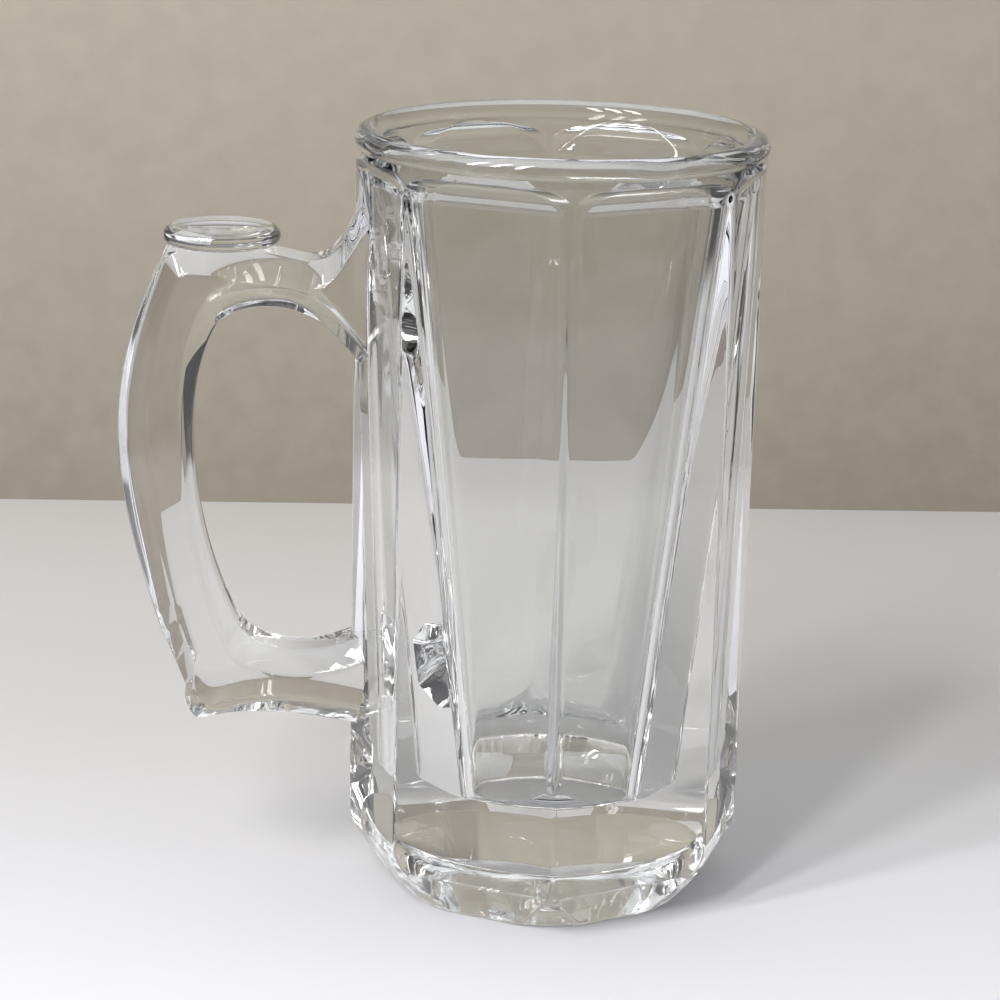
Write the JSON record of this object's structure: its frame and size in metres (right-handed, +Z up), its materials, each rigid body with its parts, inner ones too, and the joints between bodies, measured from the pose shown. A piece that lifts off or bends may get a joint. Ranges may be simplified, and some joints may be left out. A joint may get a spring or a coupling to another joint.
{
  "type": "glass beer mug",
  "caption": "Clear pressed-glass beer mug: thick panelled body with a rounded lip, curved heel and heavy base, and a flat-sided loop handle with a round thumb rest.",
  "frame": {"origin": "on the body's axis, at the plane of the foot ring that stands on the table", "axes": "+Z up along the body's axis, -X from the axis to the handle, -Y towards the ridge that faces the viewer"},
  "size_m": [0.1206, 0.077, 0.147],
  "materials": {
    "glass": "clear, fire polished"
  },
  "bodies": {
    "root": {"body": "glass", "handle": "glass"}
  },
  "joints": []
}
